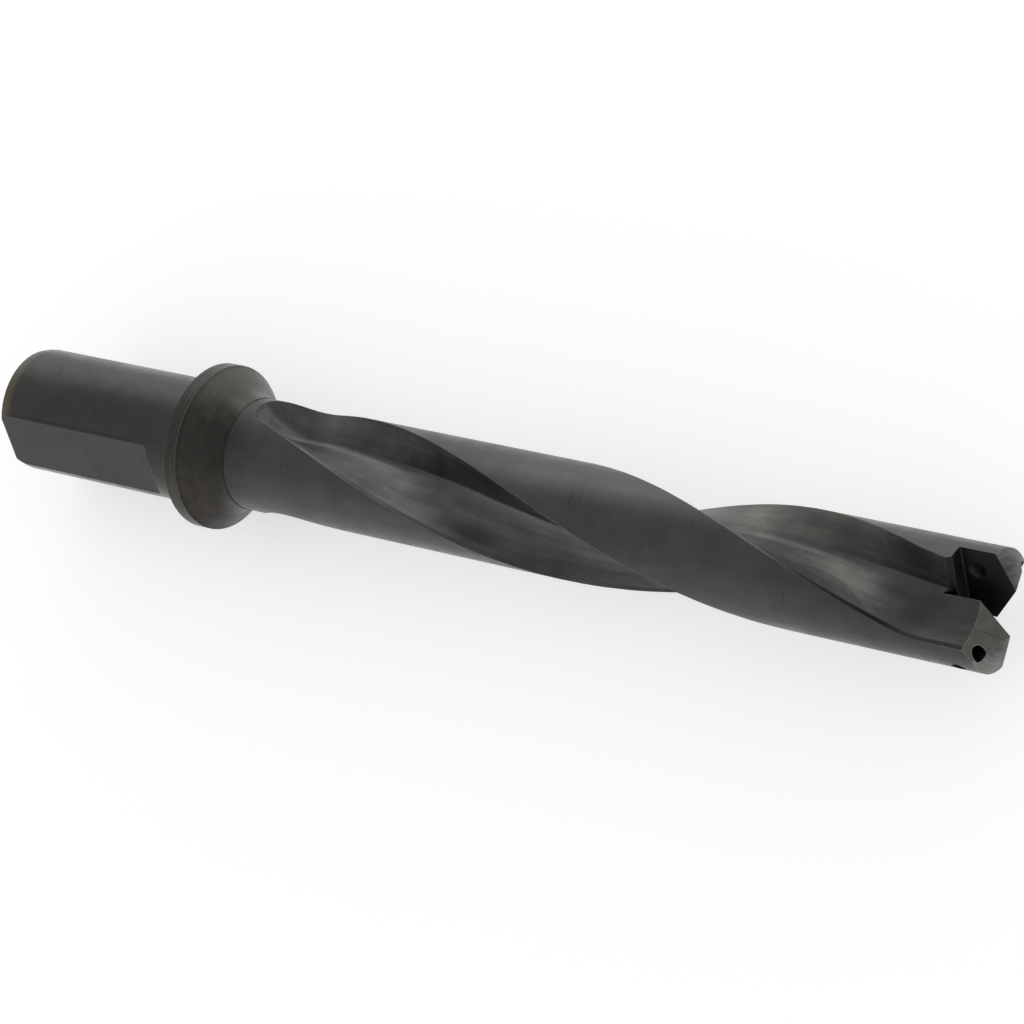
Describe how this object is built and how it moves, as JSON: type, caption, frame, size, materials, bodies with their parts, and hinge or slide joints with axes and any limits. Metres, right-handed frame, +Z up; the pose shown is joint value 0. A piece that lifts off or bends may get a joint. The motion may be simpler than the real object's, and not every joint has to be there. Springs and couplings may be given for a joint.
{
  "type": "indexable spade drill",
  "caption": "Steel holder of an indexable spade drill: flatted straight shank, stop flange, two right-hand helical flutes and an open blade slot between two legs.",
  "frame": {"origin": "on the axis, at the rear face of the flange, which stops against the adaptor", "axes": "+X along the axis towards the cutting end, +Z up with the holder lying on its side as it rests"},
  "size_m": [0.2871, 0.0424, 0.0424],
  "materials": {
    "holder_steel": "dark blued satin steel"
  },
  "bodies": {
    "root": {"holder_body": "holder_steel"}
  },
  "joints": []
}
